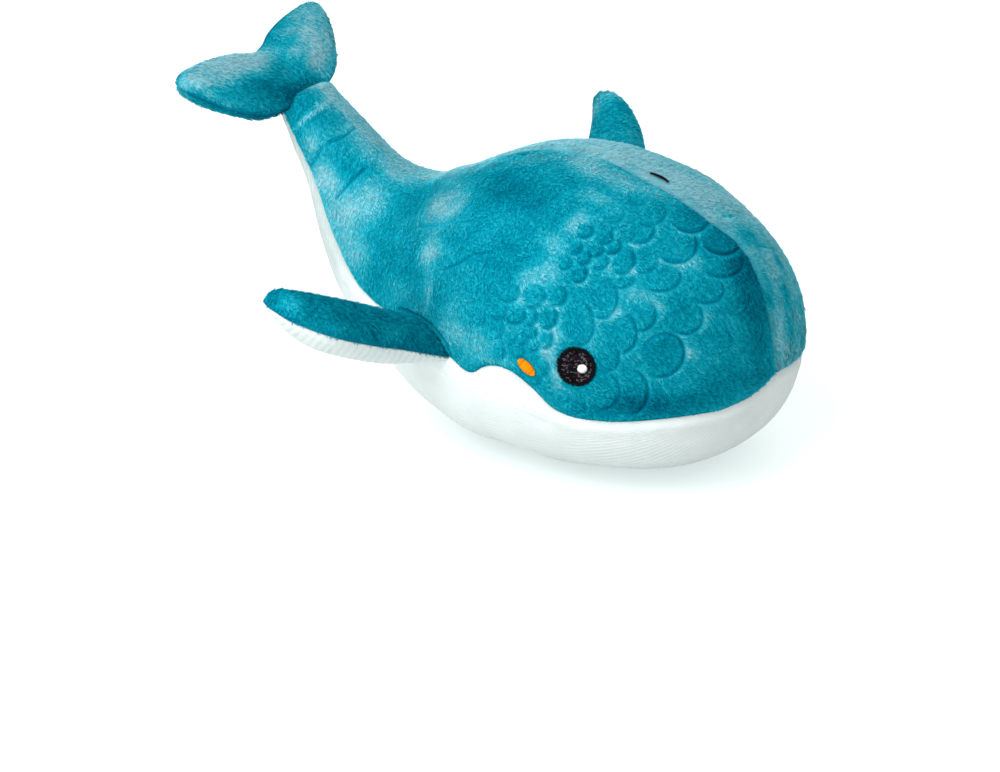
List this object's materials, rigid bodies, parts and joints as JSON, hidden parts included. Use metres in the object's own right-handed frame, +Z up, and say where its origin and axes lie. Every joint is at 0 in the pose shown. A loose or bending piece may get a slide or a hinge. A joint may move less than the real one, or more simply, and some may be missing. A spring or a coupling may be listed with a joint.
{
  "type": "plush whale",
  "caption": "Stuffed toy whale lying on its belly, with a blue back, a white belly, raised tail fluke and two soft pectoral fins that flap.",
  "frame": {"origin": "on the ground under the middle of the whale's box", "axes": "+Z up, the whale's nose points along -Y, its left side is +X"},
  "size_m": [0.316, 0.305, 0.1665],
  "materials": {
    "blue_pile": "short mottled teal pile",
    "white_plush": "ribbed white plush",
    "polyester_fibre": "loose fibre filling",
    "black_thread": "satin stitch",
    "white_thread": "satin stitch",
    "orange_thread": "satin stitch"
  },
  "bodies": {
    "whale_body": {"back_panel_right": "blue_pile", "back_panel_left": "blue_pile", "belly_panel": "white_plush", "body_filling": "polyester_fibre", "eye_right": "black_thread", "eye_left": "black_thread", "eye_glint_right": "white_thread", "eye_glint_left": "white_thread", "cheek_spot_right": "orange_thread", "cheek_spot_left": "orange_thread", "blowhole_stitch": "black_thread"},
    "right_fin": {"right_fin_top_panel": "blue_pile", "right_fin_bottom_panel": "white_plush", "right_fin_filling": "polyester_fibre"},
    "left_fin": {"left_fin_top_panel": "blue_pile", "left_fin_bottom_panel": "white_plush", "left_fin_filling": "polyester_fibre"},
    "fluke": {"fluke_top_panel": "blue_pile", "fluke_bottom_panel": "blue_pile", "fluke_filling": "polyester_fibre"}
  },
  "joints": [
    {"name": "right_fin_flap", "type": "hinge", "parent": "whale_body", "child": "right_fin", "pos_m": [-0.0836, -0.0146, 0.0644], "axis": [0.3911, 0.9168, 0.0806], "range_deg": [-25, 30], "stiffness_Nm_per_rad": 0.08, "springref_deg": 0.86},
    {"name": "left_fin_flap", "type": "hinge", "parent": "whale_body", "child": "left_fin", "pos_m": [0.0825, -0.0145, 0.0642], "axis": [0.3911, -0.9168, -0.0806], "range_deg": [-25, 30], "stiffness_Nm_per_rad": 0.08, "springref_deg": 0.86},
    {"name": "fluke_flap", "type": "hinge", "parent": "whale_body", "child": "fluke", "pos_m": [-0.0036, 0.1152, 0.1421], "axis": [1, 0, 0], "range_deg": [-25, 20], "stiffness_Nm_per_rad": 0.1, "springref_deg": 0.34}
  ]
}
